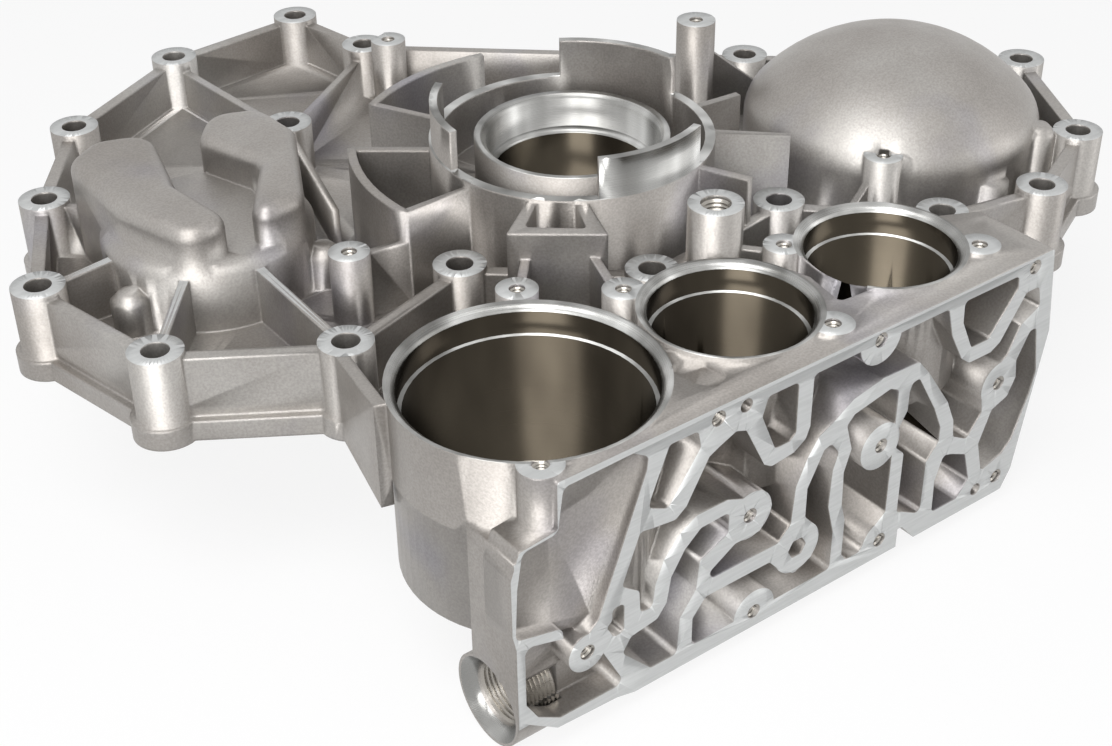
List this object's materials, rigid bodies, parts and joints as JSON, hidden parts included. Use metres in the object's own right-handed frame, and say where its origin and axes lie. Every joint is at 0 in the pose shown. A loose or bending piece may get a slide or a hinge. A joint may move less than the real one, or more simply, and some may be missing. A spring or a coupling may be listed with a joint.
{
  "type": "die cast housing",
  "caption": "Die-cast end cover of a vehicle transmission with a bearing hub, a domed cover, pump passages and a valve block with three piston bores.",
  "frame": {"origin": "on the axis of the bearing hub, in the plane of the mating flange", "axes": "+Z along the bearing axis, away from the gearbox; +X along the milled valve face; +Y away from that face, so the valve face looks along -Y"},
  "size_m": [0.3981, 0.3383, 0.1225],
  "materials": {
    "casting": "as-cast satin with milled and turned seats"
  },
  "bodies": {
    "root": {"housing": "casting"}
  },
  "joints": []
}
